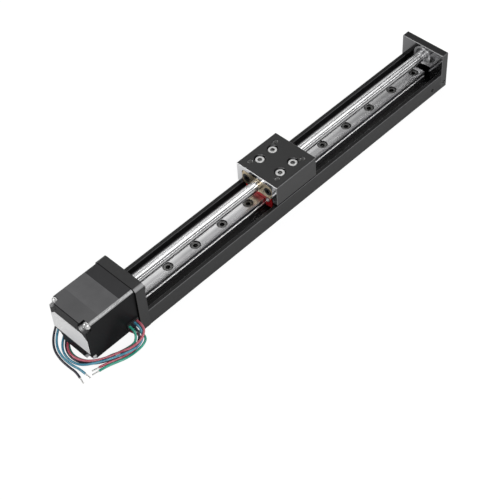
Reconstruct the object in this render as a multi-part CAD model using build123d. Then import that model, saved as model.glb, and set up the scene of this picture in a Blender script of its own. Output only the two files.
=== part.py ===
from build123d import *
import math
import os

# Lead screw linear slide. A stepper motor turns a fine screw, and the screw drives a table block
# along a miniature guide rail inside a black anodised channel. Millimetres.
# X runs from the motor to the far end, Y to the left and Z up. The origin is the middle of the
# channel's underside.

# Running clearances, on the radius or on one side
running_clearance = 0.03
thread_clearance = 0.03
hole_clearance = 0.2
soft_clearance = 0.3

# Guide rail, a 9 mm miniature size
rail_width = 9.0
rail_height = 6.5
rail_hole_pitch = 20.0
rail_end_distance = 5.0
rail_end_gap = 2.5
rail_bore_diameter = 3.5
rail_counterbore_diameter = 6.0
rail_counterbore_depth = 3.5
rail_edge_chamfer = 0.3

# Rolling elements of the carriage
carriage_ball_diameter = 1.588
raceway_height = 4.0
raceway_side = 0.2
return_side = 2.7
ball_pitch = 1.7

# Carriage that runs on the rail
carriage_width = 20.0
carriage_height = 10.0
carriage_ground_clearance = 2.0
carriage_body_length = 18.9
carriage_rail_gap = 0.4
carriage_edge_chamfer = 0.5
end_cap_length = 4.2
end_cap_inset = 0.2
seal_thickness = 0.8
seal_inset = 0.3
cap_screw_side = 7.0
cap_screw_height = 6.2
cap_screw_clearance = 0.45
carriage_bolt_spacing_x = 10.0
carriage_bolt_spacing_y = 15.0
carriage_bolt_depth = 3.2

# Channel that everything is fastened to
base_length = 235.0
floor_thickness = 3.0
wall_thickness = 2.5
channel_edge_chamfer = 0.3
channel_side_gap = 2.5
corner_gusset = 3.5
base_hole_diameter = 3.4
base_hole_inset = 20.0
base_hole_side = 8.5
side_hole_diameter = 2.0
side_hole_depth = 1.5
side_hole_height = 4.5
side_hole_inset = 8.0

# Table block that carries the load
block_length = 31.0
block_above_axis = 7.0
block_leg_drop = 1.2
block_wall_gap = 0.8
block_edge_chamfer = 0.3
block_recess_gap = 1.2
block_hole_spacing = 20.0
block_hole_depth = 5.0
block_counterbore_diameter = 6.5
block_counterbore_depth = 3.7
block_rest_offset = -7.0

# Lead screw and nut
screw_diameter = 6.0
screw_journal_diameter = 4.0
motor_journal_diameter = 5.0
nut_diameter = 9.8
nut_flange_diameter = 22.0
nut_flange_flat = 9.0
nut_flange_thickness = 3.5
nut_length = 15.0
nut_hole_spacing = 16.0
nut_carriage_gap = 0.1
nut_pocket_gap = 0.3
nut_screw_clearance = 0.8

# Motor plate and end plate
motor_plate_thickness = 6.0
motor_plate_above_axis = 14.0
motor_plate_corner = 2.5
end_plate_thickness = 5.0
end_plate_above_axis = 7.0
plate_edge_chamfer = 0.3
plate_screw_side = 1.6
plate_screw_height = 2.7

# Stepper motor, a 28 mm square size
motor_width = 28.0
motor_corner = 2.0
front_bell_length = 8.5
stator_length = 13.5
rear_bell_length = 10.0
motor_bolt_inset = 2.5
pilot_diameter = 22.0
pilot_height = 2.0
screw_window_diameter = 16.0
stator_yoke_width = 2.4
winding_overhang = 3.4
pole_count = 8
pole_width = 3.0
pole_shoe_height = 1.2
pole_shoe_angle = 34.0
coil_wire_width = 1.2
coil_depth = 2.6
rotor_air_gap = 0.08
rotor_tooth_count = 50
rotor_tooth_depth = 0.4
rotor_cup_length = 5.0
rotor_magnet_length = 2.5
rear_notch_depth = 3.4
rear_notch_radius = 3.3
rear_edge_chamfer = 0.4
label_height = 13.5
label_width = 27.4
label_corner = 3.4
label_thickness = 0.2
wave_washer_thickness = 0.25
wave_washer_height = 0.6

# Deep groove ball bearings: bore, outer diameter, width
end_bearing_size = (4.0, 12.0, 4.0)
motor_bearing_size = (5.0, 11.0, 4.0)
end_bearing_proud = 0.3
bearing_ball_count = 7
bearing_shield_thickness = 0.2

# Fasteners: thread, head diameter, head height, key width
m3_cap = (3.0, 5.5, 3.0, 2.5)
m25_cap = (2.5, 4.5, 2.5, 2.0)
m3_flat = (3.0, 5.2, 1.5, 2.0)
m25_flat = (2.5, 4.2, 1.2, 1.5)
m25_pan = (2.5, 4.6, 1.9, 1.1)
m16_cap = (1.6, 2.8, 0.6, 1.0)
head_recess = 0.3
blind_hole_spare = 0.3
short_bolt_reach = 4.6
long_bolt_reach = 4.0
mount_screw_grip = 3.0

# Lead outlet and leads
outlet_length = 7.2
outlet_height = 3.6
outlet_above_base = 6.4
outlet_from_joint = 4.0
outlet_proud = 0.8
outlet_depth = 3.6
lead_pitch = 1.7
lead_exit_run = 3.9
lead_diameter = 1.3
lead_tip_diameter = 0.7
lead_tip_length = 4.0

# Levels and lengths that follow
channel_width = carriage_width + 2 * channel_side_gap
base_width = channel_width + 2 * wall_thickness
rail_top = floor_thickness + rail_height
carriage_top = floor_thickness + carriage_height
axis_height = carriage_top + nut_carriage_gap + nut_diameter / 2
block_bottom = carriage_top - block_leg_drop
wall_height = block_bottom - block_wall_gap
block_top = axis_height + block_above_axis
rail_length = base_length - 2 * rail_end_gap
carriage_length = carriage_body_length + 2 * (end_cap_length + seal_thickness)
motor_length = front_bell_length + stator_length + rear_bell_length
motor_bolt_spacing = motor_width - 2 * motor_bolt_inset
stator_bore = motor_width / 2
winding_space_radius = motor_width / 2 - stator_yoke_width
cap_screw_grip = (carriage_body_length - carriage_bolt_spacing_x - m3_cap[0]) / 2 - cap_screw_clearance
nut_screw_length = (block_length - carriage_bolt_spacing_x - m3_cap[0]) / 2 - nut_screw_clearance

# Stations along X
base_start = -base_length / 2
base_end = base_length / 2
motor_face = base_start - motor_plate_thickness
stator_front = motor_face - front_bell_length
stator_rear = stator_front - stator_length
motor_rear = stator_rear - rear_bell_length
block_near = block_rest_offset - block_length / 2
block_far = block_rest_offset + block_length / 2

# Centre of the raceways beside the rail, and of the return holes outside them
raceway_y = rail_width / 2 + raceway_side
return_y = raceway_y + return_side
raceway_z = floor_thickness + raceway_height
raceway_radius = carriage_ball_diameter / 2 + running_clearance


def place(x, y, z, shape):
    """Move a shape to a point of the slide."""
    return Pos(x, y, z) * shape


def slab(x, y, z):
    """A box between two limits along each axis."""
    size = [limits[1] - limits[0] for limits in (x, y, z)]
    return place(x[0], y[0], z[0], Box(*size, align=(Align.MIN, Align.MIN, Align.MIN)))


def rod(radius, start, end, y=0.0, z=0.0):
    """A round bar along X."""
    bar = Cylinder(radius, end - start, align=(Align.CENTER, Align.CENTER, Align.MIN))
    return place(start, y, z, Rot(0, 90, 0) * bar)


def tube(outer, inner, start, end, y=0.0, z=0.0):
    """A round ring along X."""
    return rod(outer, start, end, y, z) - rod(inner, start - 1, end + 1, y, z)


def pin(radius, bottom, top, x, y):
    """A round bar along Z."""
    bar = Cylinder(radius, top - bottom, align=(Align.CENTER, Align.CENTER, Align.MIN))
    return place(x, y, bottom, bar)


def bar_from_outline(points, start, end):
    """A bar along X with a closed outline given as (y, z) points."""
    wire = Polyline(*[(start, y, z) for y, z in points], close=True)
    return extrude(make_face(wire), amount=end - start, dir=(1, 0, 0))


def corners(spacing_a, spacing_b):
    """The four corners of a rectangle about its middle."""
    return [(a * spacing_a / 2, b * spacing_b / 2) for a in (-1, 1) for b in (-1, 1)]


def softened(shape, axis, size):
    """Chamfer the edges of a block that run along one axis."""
    return chamfer(shape.edges().filter_by(axis), size)


def cap_screw(kind, length):
    """Socket head screw that points down, with its head resting on z = 0."""
    thread, head_diameter, head_height, key = kind
    head = Cylinder(head_diameter / 2, head_height, align=(Align.CENTER, Align.CENTER, Align.MIN))
    head = chamfer(head.edges().group_by(Axis.Z)[-1], head_height * 0.1)
    shank = Cylinder(thread / 2, length, align=(Align.CENTER, Align.CENTER, Align.MAX))
    socket_depth = head_height * 0.55
    socket = extrude(RegularPolygon(key / 2, 6, major_radius=False), amount=socket_depth + 1)
    return head + shank - place(0, 0, head_height - socket_depth, socket)


def flat_screw(kind, length):
    """Countersunk socket screw that points down, with the top of its head at z = 0."""
    thread, head_diameter, head_height, key = kind
    cone = Cone(thread / 2, head_diameter / 2, head_height, align=(Align.CENTER, Align.CENTER, Align.MAX))
    shank = Cylinder(thread / 2, length, align=(Align.CENTER, Align.CENTER, Align.MAX))
    socket = extrude(RegularPolygon(key / 2, 6, major_radius=False), amount=head_height)
    return cone + shank - place(0, 0, -head_height * 0.8, socket)


def countersink(kind):
    """The seat of a countersunk head, with its mouth at z = 0."""
    thread, head_diameter, head_height, key = kind
    grow = thread_clearance
    bottom, top = thread / 2 + grow, head_diameter / 2 + grow
    return Cone(bottom, top, head_height, align=(Align.CENTER, Align.CENTER, Align.MAX))


def pan_screw(kind, length):
    """Cross recessed pan head screw that points down, with its head resting on z = 0."""
    thread, head_diameter, head_height, slot = kind
    head = Cylinder(head_diameter / 2, head_height, align=(Align.CENTER, Align.CENTER, Align.MIN))
    head = fillet(head.edges().group_by(Axis.Z)[-1], head_height * 0.6)
    shank = Cylinder(thread / 2, length, align=(Align.CENTER, Align.CENTER, Align.MAX))
    cross = Box(head_diameter * 0.55, slot * 0.6, head_height)
    cross += Box(slot * 0.6, head_diameter * 0.55, head_height)
    return head + shank - place(0, 0, head_height, cross)


def facing(direction, screw):
    """Turn a screw so that its head faces along +X (1) or -X (-1)."""
    return Rot(0, 90 * direction, 0) * screw


def group(shapes):
    """Keep like pieces together as separate solids of one node."""
    solids = []
    for shape in shapes:
        solids.extend(shape.solids())
    return Compound(children=solids)


nodes = {}


# Base channel: one length of U section with gussets that give its end screws metal to hold
def make_base():
    """The channel with its mounting holes, rail screw holes and end screw holes."""
    half = base_width / 2
    inner = channel_width / 2
    cut = channel_edge_chamfer
    right = [
        (half - cut, 0), (half, cut), (half, wall_height - cut), (half - cut, wall_height),
        (inner + cut, wall_height), (inner, wall_height - cut),
        (inner, floor_thickness + corner_gusset), (inner - corner_gusset, floor_thickness),
    ]
    outline = right + [(-y, z) for y, z in reversed(right)]
    base = bar_from_outline(outline, base_start, base_end)
    for x in rail_hole_stations():
        base -= pin(m3_cap[0] / 2 + thread_clearance, -1, floor_thickness + 1, x, 0)
    for x, y in base_hole_places():
        base -= pin(base_hole_diameter / 2, -1, floor_thickness + 1, x, y)
    for y in (-plate_screw_y(), plate_screw_y()):
        radius = m25_cap[0] / 2 + thread_clearance
        base -= rod(radius, base_start - 1, base_start + plate_screw_reach(), y, plate_screw_height)
        base -= rod(radius, base_end - plate_screw_reach(), base_end + 1, y, plate_screw_height)
    base -= side_hole(base_end - side_hole_inset)
    return base


def rail_hole_stations():
    """Places along X of the rail's holes, an even pattern about the middle."""
    count = int((rail_length - 2 * rail_end_distance) // rail_hole_pitch) + 1
    return [(i - (count - 1) / 2) * rail_hole_pitch for i in range(count)]


def base_hole_places():
    """Mounting holes in the floor on both sides of the rail, midway between rail holes."""
    spacing = 2 * (base_length / 2 - base_hole_inset)
    return corners(spacing, 2 * base_hole_side)


def plate_screw_y():
    """Side offset of the screws that hold the plates to the channel's ends."""
    return channel_width / 2 - plate_screw_side


def plate_screw_reach():
    """How deep the holes for the plates' screws go into the channel."""
    return m25_cap[0] * 3.2


def side_hole(x):
    """Small blind hole in the right side, for a limit switch bracket."""
    hole = Cylinder(side_hole_diameter / 2, 2 * side_hole_depth)
    return place(x, -base_width / 2, side_hole_height, Rot(90, 0, 0) * hole)


nodes["base_channel"] = make_base()


# Guide rail: a ground steel bar with a raceway along each side
def make_rail():
    """The rail with its raceways and counterbored holes."""
    half = rail_width / 2
    cut = rail_edge_chamfer
    outline = [
        (-half, floor_thickness), (half, floor_thickness), (half, rail_top - cut),
        (half - cut, rail_top), (-half + cut, rail_top), (-half, rail_top - cut),
    ]
    rail = bar_from_outline(outline, -rail_length / 2, rail_length / 2)
    for y in (-raceway_y, raceway_y):
        rail -= rod(raceway_radius, -rail_length / 2 - 1, rail_length / 2 + 1, y, raceway_z)
    for x in rail_hole_stations():
        rail -= pin(rail_bore_diameter / 2, floor_thickness - 1, rail_top, x, 0)
        rail -= pin(rail_counterbore_diameter / 2, rail_top - rail_counterbore_depth, rail_top + 1, x, 0)
    return rail


rail_seat = rail_top - rail_counterbore_depth
nodes["guide_rail"] = make_rail()
nodes["rail_screws"] = group(
    place(x, 0, rail_seat, cap_screw(m3_cap, rail_seat - head_recess)) for x in rail_hole_stations()
)


# Carriage: a hardened steel saddle on recirculating balls, with plastic end caps and red end seals
def saddle_outline(width, bottom, top, opening, opening_top):
    """Outline of a saddle that stands astride the rail."""
    half = width / 2
    return [
        (-half, bottom), (-opening, bottom), (-opening, opening_top), (opening, opening_top),
        (opening, bottom), (half, bottom), (half, top - carriage_edge_chamfer),
        (half - carriage_edge_chamfer, top), (-half + carriage_edge_chamfer, top),
        (-half, top - carriage_edge_chamfer),
    ]


carriage_bottom = floor_thickness + carriage_ground_clearance
body_half = carriage_body_length / 2
carriage_x = block_rest_offset
cap_screw_z = floor_thickness + cap_screw_height + m16_cap[1] / 2


def make_carriage_body():
    """The steel saddle with raceways, return holes and threaded holes for the table."""
    opening = rail_width / 2 + carriage_rail_gap
    opening_top = rail_top + carriage_rail_gap
    outline = saddle_outline(carriage_width, carriage_bottom, carriage_top, opening, opening_top)
    start, end = carriage_x - body_half, carriage_x + body_half
    body = bar_from_outline(outline, start, end)
    for side in (-1, 1):
        body -= rod(raceway_radius, start - 1, end + 1, side * raceway_y, raceway_z)
        body -= rod(raceway_radius, start - 1, end + 1, side * return_y, raceway_z)
        for outward, face in ((-1, start), (1, end)):
            radius = m16_cap[0] / 2 + thread_clearance
            depth = cap_screw_grip + blind_hole_spare
            hole_start, hole_end = sorted((face + outward, face - outward * depth))
            body -= rod(radius, hole_start, hole_end, side * cap_screw_side, cap_screw_z)
    for x, y in corners(carriage_bolt_spacing_x, carriage_bolt_spacing_y):
        bottom = carriage_top - carriage_bolt_depth
        body -= pin(m3_cap[0] / 2 + thread_clearance, bottom, carriage_top + 1, carriage_x + x, y)
    return body


def end_piece(outward, start, thickness, inset, opening_gap):
    """A plate of the carriage's section on one end, where outward is -1 or 1 along X."""
    width, bottom, top = carriage_width - 2 * inset, carriage_bottom + inset, carriage_top - inset
    opening = rail_width / 2 + opening_gap
    outline = saddle_outline(width, bottom, top, opening, rail_top + opening_gap)
    near, far = carriage_x + outward * start, carriage_x + outward * (start + thickness)
    piece = bar_from_outline(outline, min(near, far), max(near, far))
    for side in (-1, 1):
        radius = m16_cap[0] / 2 + hole_clearance
        piece -= rod(radius, min(near, far) - 1, max(near, far) + 1, side * cap_screw_side, cap_screw_z)
    return piece


def make_end_cap(outward):
    """Plastic cap whose inner face turns the balls round from raceway to return hole."""
    cap = end_piece(outward, body_half, end_cap_length, end_cap_inset, carriage_rail_gap + 0.1)
    turn_y = (raceway_y + return_y) / 2
    for side in (-1, 1):
        turn = Torus((return_y - raceway_y) / 2, raceway_radius)
        cap -= place(carriage_x + outward * body_half, side * turn_y, raceway_z, turn)
    return cap


def carriage_ball_places():
    """Ball centres of both circuits: loaded row, return row and the turns between them."""
    count = int(carriage_body_length // ball_pitch)
    row = [(i - (count - 1) / 2) * ball_pitch for i in range(count)]
    turn_radius = (return_y - raceway_y) / 2
    reach = turn_radius * math.sin(math.radians(45))
    for side in (-1, 1):
        for x in row:
            yield carriage_x + x, side * raceway_y
            yield carriage_x + x, side * return_y
        for outward in (-1, 1):
            for inward in (-1, 1):
                x = carriage_x + outward * (body_half + reach)
                yield x, side * ((raceway_y + return_y) / 2 + inward * reach)


nodes["carriage_body"] = make_carriage_body()
nodes["end_cap_motor_side"] = make_end_cap(-1)
nodes["end_cap_far_side"] = make_end_cap(1)
seal_start = body_half + end_cap_length
nodes["end_seal_motor_side"] = end_piece(-1, seal_start, seal_thickness, seal_inset, soft_clearance)
nodes["end_seal_far_side"] = end_piece(1, seal_start, seal_thickness, seal_inset, soft_clearance)
nodes["carriage_balls"] = group(
    place(x, y, raceway_z, Sphere(carriage_ball_diameter / 2)) for x, y in carriage_ball_places()
)
nodes["end_cap_screws"] = group(
    place(
        carriage_x + outward * (seal_start + seal_thickness), side * cap_screw_side, cap_screw_z,
        facing(outward, cap_screw(m16_cap, end_cap_length + seal_thickness + cap_screw_grip))
    )
    for outward in (-1, 1) for side in (-1, 1)
)


# Table block: black anodised block bolted on the carriage, with a pocket for the nut
def make_table_block():
    """The block with its carriage recess, nut pocket, screw passage and holes."""
    half = base_width / 2
    block = slab((block_near, block_far), (-half, half), (block_bottom, block_top))
    block = chamfer(block.edges(), block_edge_chamfer)
    recess = carriage_width / 2 + block_recess_gap
    block -= slab((block_near - 1, block_far + 1), (-recess, recess), (block_bottom - 1, carriage_top))
    pocket_top = axis_height + nut_flange_flat / 2 + nut_pocket_gap
    pocket_end = block_near + nut_flange_thickness
    pocket = slab((block_near - 1, pocket_end), (-recess, recess), (carriage_top - 1, pocket_top))
    upper = pocket.edges().filter_by(Axis.X).group_by(Axis.Z)[-1]
    block -= fillet(upper, nut_flange_flat / 4)
    passage = nut_diameter / 2 + hole_clearance / 2
    block -= rod(passage, block_near - 1, block_far + 1, 0, axis_height)
    block -= slab((block_near - 1, block_far + 1), (-passage, passage), (carriage_top - 1, axis_height))
    for side in (-1, 1):
        y = side * nut_hole_spacing / 2
        hole_end = block_near + nut_screw_length + blind_hole_spare
        block -= rod(m3_flat[0] / 2 + thread_clearance, pocket_end - 1, hole_end, y, axis_height)
    floor = block_top - block_counterbore_depth
    for x, y in corners(carriage_bolt_spacing_x, carriage_bolt_spacing_y):
        x += block_rest_offset
        block -= pin(m3_cap[0] / 2 + hole_clearance, carriage_top - 1, floor + 1, x, y)
        block -= pin(block_counterbore_diameter / 2, floor, block_top + 1, x, y)
    for x, y in corners(block_hole_spacing, block_hole_spacing):
        x += block_rest_offset
        block -= pin(m3_cap[0] / 2, block_top - block_hole_depth, block_top + 1, x, y)
    return block


table_screw_seat = block_top - block_counterbore_depth
table_screw_length = table_screw_seat - carriage_top + carriage_bolt_depth - head_recess
nodes["table_block"] = make_table_block()
nodes["table_screws"] = group(
    place(block_rest_offset + x, y, table_screw_seat, cap_screw(m3_cap, table_screw_length))
    for x, y in corners(carriage_bolt_spacing_x, carriage_bolt_spacing_y)
)


# Lead nut: brass, with a round flange cut flat above and below, held by two countersunk screws
def make_nut():
    """The flanged nut with its bore and screw holes."""
    end = block_near + nut_flange_thickness
    flange = rod(nut_flange_diameter / 2, block_near, end, 0, axis_height)
    half_flat = nut_flange_flat / 2
    half_wide = nut_flange_diameter / 2
    flange &= slab(
        (block_near, end), (-half_wide, half_wide), (axis_height - half_flat, axis_height + half_flat)
    )
    nut = flange + rod(nut_diameter / 2, block_near, block_near + nut_length, 0, axis_height)
    bore = screw_diameter / 2 + running_clearance
    nut -= rod(bore, block_near - 1, block_near + nut_length + 1, 0, axis_height)
    for side in (-1, 1):
        y = side * nut_hole_spacing / 2
        nut -= rod(m3_flat[0] / 2 + thread_clearance, block_near - 1, end + 1, y, axis_height)
        nut -= place(block_near, y, axis_height, facing(-1, countersink(m3_flat)))
    return nut


nodes["lead_nut"] = make_nut()
nodes["nut_screws"] = group(
    place(
        block_near, side * nut_hole_spacing / 2, axis_height,
        facing(-1, flat_screw(m3_flat, nut_screw_length))
    )
    for side in (-1, 1)
)


# End plate: carries the far bearing and closes the channel
def make_end_plate():
    """The end plate with its bearing seat, screw holes and side hole."""
    half = base_width / 2
    outer_face = base_end + end_plate_thickness
    plate = slab((base_end, outer_face), (-half, half), (0, axis_height + end_plate_above_axis))
    plate = chamfer(plate.edges(), plate_edge_chamfer)
    bore, outer, width = end_bearing_size
    seat_end = base_end + width - end_bearing_proud
    plate -= rod(outer / 2, base_end - 1, seat_end, 0, axis_height)
    plate -= rod(outer / 2 - 1.5, base_end - 1, outer_face + 1, 0, axis_height)
    for y in (-plate_screw_y(), plate_screw_y()):
        plate -= rod(m25_cap[0] / 2 + hole_clearance, base_end - 1, outer_face + 1, y, plate_screw_height)
        seat = outer_face - m25_cap[2] - head_recess
        plate -= rod(m25_cap[1] / 2 + 0.1, seat, outer_face + 1, y, plate_screw_height)
    plate -= side_hole(base_end + end_plate_thickness / 2)
    return plate


end_screw_seat = base_end + end_plate_thickness - m25_cap[2] - head_recess
plate_screw_length = end_screw_seat - base_end + plate_screw_reach() - head_recess
nodes["end_plate"] = make_end_plate()
nodes["end_plate_screws"] = group(
    place(end_screw_seat, y, plate_screw_height, facing(1, cap_screw(m25_cap, plate_screw_length)))
    for y in (-plate_screw_y(), plate_screw_y())
)


# Motor plate: locates the motor by its pilot and joins it to the channel
def make_motor_plate():
    """The motor plate with its pilot bore, screw window and fastener holes."""
    half = base_width / 2
    plate = slab((motor_face, base_start), (-half, half), (0, axis_height + motor_plate_above_axis))
    top_corners = plate.edges().filter_by(Axis.X).group_by(Axis.Z)[-1]
    plate = fillet(top_corners, motor_plate_corner)
    pilot_bore = pilot_diameter / 2 + hole_clearance / 4
    plate -= rod(pilot_bore, motor_face - 1, motor_face + pilot_height + 0.1, 0, axis_height)
    plate -= rod(screw_window_diameter / 2, motor_face - 1, base_start + 1, 0, axis_height)
    for y, z in motor_bolt_places():
        if z > axis_height:
            plate -= rod(m25_flat[0] / 2 + hole_clearance, motor_face - 1, base_start + 1, y, z)
            plate -= place(base_start, y, z, facing(1, countersink(m25_flat)))
        else:
            hole_end = long_bolt_end + blind_hole_spare
            plate -= rod(m25_cap[0] / 2 + thread_clearance, motor_face - 1, hole_end, y, z)
    for y in (-plate_screw_y(), plate_screw_y()):
        plate -= rod(m25_cap[0] / 2 + hole_clearance, motor_face - 1, base_start + 1, y, plate_screw_height)
        plate -= rod(m25_cap[1] / 2 + 0.1, motor_face - 1, motor_screw_seat, y, plate_screw_height)
    return plate


def motor_bolt_places():
    """The four bolt axes of the motor."""
    return [(y, axis_height + z) for y, z in corners(motor_bolt_spacing, motor_bolt_spacing)]


motor_screw_seat = motor_face + m25_cap[2] + head_recess
long_bolt_end = motor_face + long_bolt_reach
nodes["motor_plate"] = make_motor_plate()
nodes["motor_plate_screws"] = group(
    place(
        motor_screw_seat, y, plate_screw_height,
        facing(-1, cap_screw(m25_cap, base_start - motor_screw_seat + plate_screw_reach() - head_recess))
    )
    for y in (-plate_screw_y(), plate_screw_y())
)


# Motor: two cast bells clamp a stack of laminations, and the rotor sits on the screw's own shaft
def motor_section(start, end):
    """A length of the motor's square section with its long edges rounded."""
    half = motor_width / 2
    body = slab((start, end), (-half, half), (axis_height - half, axis_height + half))
    return fillet(body.edges().filter_by(Axis.X), motor_corner)


bearing_bore, bearing_outer, bearing_width = motor_bearing_size
front_bearing_start = motor_face - bearing_width
rear_bearing_start = stator_rear - winding_overhang - 0.4 - bearing_width
bearing_shoulder = bearing_outer / 2 - 1.2


def make_front_bell():
    """The front bell with its pilot, bearing seat, winding space and lead window."""
    bell = motor_section(stator_front, motor_face)
    bell += rod(pilot_diameter / 2, motor_face - 1, motor_face + pilot_height, 0, axis_height)
    space_end = stator_front + winding_overhang + 0.2
    bell -= rod(winding_space_radius, stator_front - 1, space_end, 0, axis_height)
    bell -= rod(bearing_outer / 2, stator_front, front_bearing_start + bearing_width, 0, axis_height)
    bell -= rod(bearing_shoulder, stator_front, motor_face + pilot_height + 1, 0, axis_height)
    for y, z in motor_bolt_places():
        radius = m25_cap[0] / 2 + (thread_clearance if z > axis_height else hole_clearance)
        bell -= rod(radius, stator_front - 1, motor_face + 1, y, z)
    return bell - lead_window()


def make_rear_bell():
    """The rear bell with its bearing seat, winding space and corner notches."""
    bell = motor_section(motor_rear, stator_rear)
    bell = chamfer(bell.faces().sort_by(Axis.X)[0].edges(), rear_edge_chamfer)
    bell -= rod(winding_space_radius, stator_rear - winding_overhang - 0.2, stator_rear + 1, 0, axis_height)
    washer_space = wave_washer_height
    bell -= rod(bearing_outer / 2, rear_bearing_start - washer_space, stator_rear, 0, axis_height)
    notch_end = motor_rear + rear_notch_depth
    half = motor_width / 2
    for y, z in motor_bolt_places():
        bell -= rod(m25_pan[0] / 2 + hole_clearance, motor_rear - 1, stator_rear + 1, y, z)
        bell -= rod(rear_notch_radius, motor_rear - 1, notch_end, y, z)
        side, level = math.copysign(1, y), math.copysign(1, z - axis_height)
        corner_y = sorted((y, side * (half + 1)))
        corner_z = sorted((z, axis_height + level * (half + 1)))
        bell -= slab((motor_rear - 1, notch_end), corner_y, corner_z)
    return bell


def lead_window():
    """Opening in the right side of the front bell for the lead outlet."""
    side = -motor_width / 2
    bottom = axis_height - motor_width / 2 + outlet_above_base - outlet_height / 2
    return slab(
        (outlet_x - outlet_length / 2, outlet_x + outlet_length / 2), (side - 1, side + outlet_depth),
        (bottom, bottom + outlet_height)
    )


outlet_x = stator_front + outlet_from_joint
outlet_z = axis_height - motor_width / 2 + outlet_above_base
outlet_face = -motor_width / 2 - outlet_proud


def make_stator_core():
    """The lamination stack: a square frame with eight poles round the rotor."""
    core = motor_section(stator_rear, stator_front)
    core -= rod(winding_space_radius, stator_rear - 1, stator_front + 1, 0, axis_height)
    inner = stator_bore / 2
    shoe_outer = inner + pole_shoe_height
    shoes = tube(shoe_outer, inner, stator_rear, stator_front, 0, axis_height)
    gap = 360 / pole_count - pole_shoe_angle
    reach = shoe_outer + 1
    for i in range(pole_count):
        turn = Rot(360 / pole_count * i, 0, 0)
        pole = slab(
            (stator_rear, stator_front), (-pole_width / 2, pole_width / 2),
            (inner + pole_shoe_height / 2, winding_space_radius + 0.3)
        )
        core += place(0, 0, axis_height, turn * pole)
        half_turn = Rot(360 / pole_count * (i + 0.5), 0, 0)
        half_gap = reach * math.tan(math.radians(gap / 2))
        wedge_outline = [(0, 0), (-half_gap, reach), (half_gap, reach)]
        wedge = bar_from_outline(wedge_outline, stator_rear - 1, stator_front + 1)
        shoes -= place(0, 0, axis_height, half_turn * wedge)
    core += shoes
    for y, z in motor_bolt_places():
        core -= rod(m25_pan[0] / 2 + hole_clearance, stator_rear - 1, stator_front + 1, y, z)
    return core


def make_coils():
    """Eight copper coils, each wound round one pole."""
    inner = stator_bore / 2 + pole_shoe_height + 0.15
    window_y = pole_width / 2 + 0.1
    window_x = stator_length / 2 + 0.2
    middle = (stator_front + stator_rear) / 2
    outer_y = window_y + coil_wire_width
    outer_x = window_x + coil_wire_width
    coil = slab((-outer_x, outer_x), (-outer_y, outer_y), (inner, inner + coil_depth))
    coil = fillet(coil.edges().filter_by(Axis.Z), coil_wire_width * 0.8)
    coil -= slab((-window_x, window_x), (-window_y, window_y), (inner - 1, inner + coil_depth + 1))
    return group(
        place(middle, 0, axis_height, Rot(360 / pole_count * i, 0, 0) * coil) for i in range(pole_count)
    )


def make_rotor_cup(start, end, phase):
    """A toothed rotor cup on the shaft, with its teeth turned by a share of one tooth."""
    outer = stator_bore / 2 - rotor_air_gap
    inner = outer - rotor_tooth_depth
    step = 2 * math.pi / rotor_tooth_count
    points = []
    for i in range(rotor_tooth_count):
        for share, radius in ((0.0, inner), (0.45, inner), (0.55, outer), (0.9, outer)):
            angle = step * (i + share + phase)
            points.append((radius * math.cos(angle), axis_height + radius * math.sin(angle)))
    cup = bar_from_outline(points, start, end)
    return cup - rod(motor_journal_diameter / 2, start - 1, end + 1, 0, axis_height)


nodes["motor_front_bell"] = make_front_bell()
nodes["stator_core"] = make_stator_core()
nodes["stator_coils"] = make_coils()
nodes["motor_rear_bell"] = make_rear_bell()

rotor_start = (stator_front + stator_rear) / 2 - rotor_cup_length - rotor_magnet_length / 2
magnet_start = rotor_start + rotor_cup_length
magnet_end = magnet_start + rotor_magnet_length
nodes["rotor_rear_cup"] = make_rotor_cup(rotor_start, magnet_start, 0.0)
nodes["rotor_magnet"] = tube(
    stator_bore / 2 - 1.2, motor_journal_diameter / 2, magnet_start, magnet_end, 0, axis_height
)
nodes["rotor_front_cup"] = make_rotor_cup(magnet_end, magnet_end + rotor_cup_length, 0.5)


# Motor fasteners: short bolts above, long bolts below that also reach the plate, two front screws
short_bolt_end = stator_front + short_bolt_reach
bolt_head_seat = motor_rear + rear_notch_depth


def motor_bolts(end, above):
    """The through bolts of the upper or the lower corners."""
    return group(
        place(bolt_head_seat, y, z, facing(-1, pan_screw(m25_pan, end - bolt_head_seat)))
        for y, z in motor_bolt_places() if (z > axis_height) == above
    )


nodes["motor_short_bolts"] = motor_bolts(short_bolt_end, True)
nodes["motor_long_bolts"] = motor_bolts(long_bolt_end, False)
nodes["motor_mount_screws"] = group(
    place(base_start, y, z, facing(1, flat_screw(m25_flat, motor_plate_thickness + mount_screw_grip)))
    for y, z in motor_bolt_places() if z > axis_height
)


# Rear label plate, bare, with its upper corners cut
def make_label():
    """The thin plate on the motor's rear face."""
    half = label_width / 2
    bottom = axis_height - label_height / 2
    top = axis_height + label_height / 2
    outline = [
        (-half, bottom), (half, bottom), (half, top - label_corner), (half - label_corner, top),
        (-half + label_corner, top), (-half, top - label_corner),
    ]
    return bar_from_outline(outline, motor_rear - label_thickness, motor_rear)


nodes["rear_label"] = make_label()


# Lead outlet: moulded block in the bell's window with a hole for each lead
def make_outlet():
    """The outlet block that the four leads come out of."""
    slack = hole_clearance / 4
    half = outlet_length / 2 - slack
    inner = -motor_width / 2 + outlet_depth - slack
    rise = outlet_height / 2 - slack
    along_x = (outlet_x - half, outlet_x + half)
    return slab(along_x, (outlet_face, inner), (outlet_z - rise, outlet_z + rise))


nodes["lead_outlet"] = make_outlet()


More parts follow.
